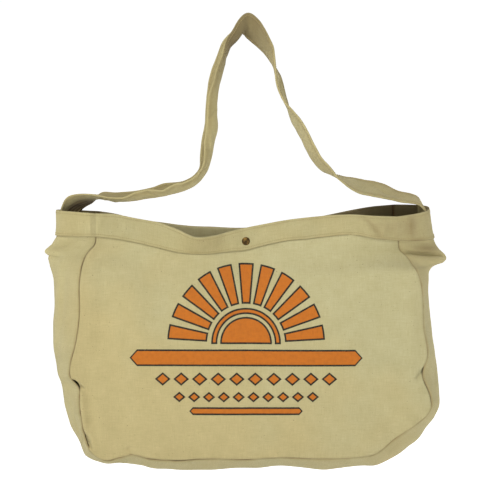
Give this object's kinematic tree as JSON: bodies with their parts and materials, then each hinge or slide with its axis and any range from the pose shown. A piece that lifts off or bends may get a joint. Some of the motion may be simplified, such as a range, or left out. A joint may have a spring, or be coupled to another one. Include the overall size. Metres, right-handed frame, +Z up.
{
  "type": "newspaper delivery bag",
  "caption": "Wide canvas shoulder bag with a gusset round its ends and bottom, a hemmed open mouth held by a snap, and a shoulder strap.",
  "frame": {"origin": "the underside of the strap's middle at its highest point, where a hook carries the bag", "axes": "+Z up, +X along the bag to the right as seen from the front, front panel facing -Y"},
  "size_m": [0.6467, 0.1399, 0.7532],
  "materials": {
    "canvas": "natural cotton canvas, plain weave",
    "strap_canvas": "folded cotton canvas, stitched",
    "old_brass": "antique brass, worn on the rim"
  },
  "bodies": {
    "root": {"front_panel": "canvas", "back_panel": "canvas", "gusset": "canvas", "mouth_band": "canvas", "strap": "strap_canvas", "snap_cap": "old_brass", "snap_socket": "old_brass", "snap_stud": "old_brass"}
  },
  "joints": []
}
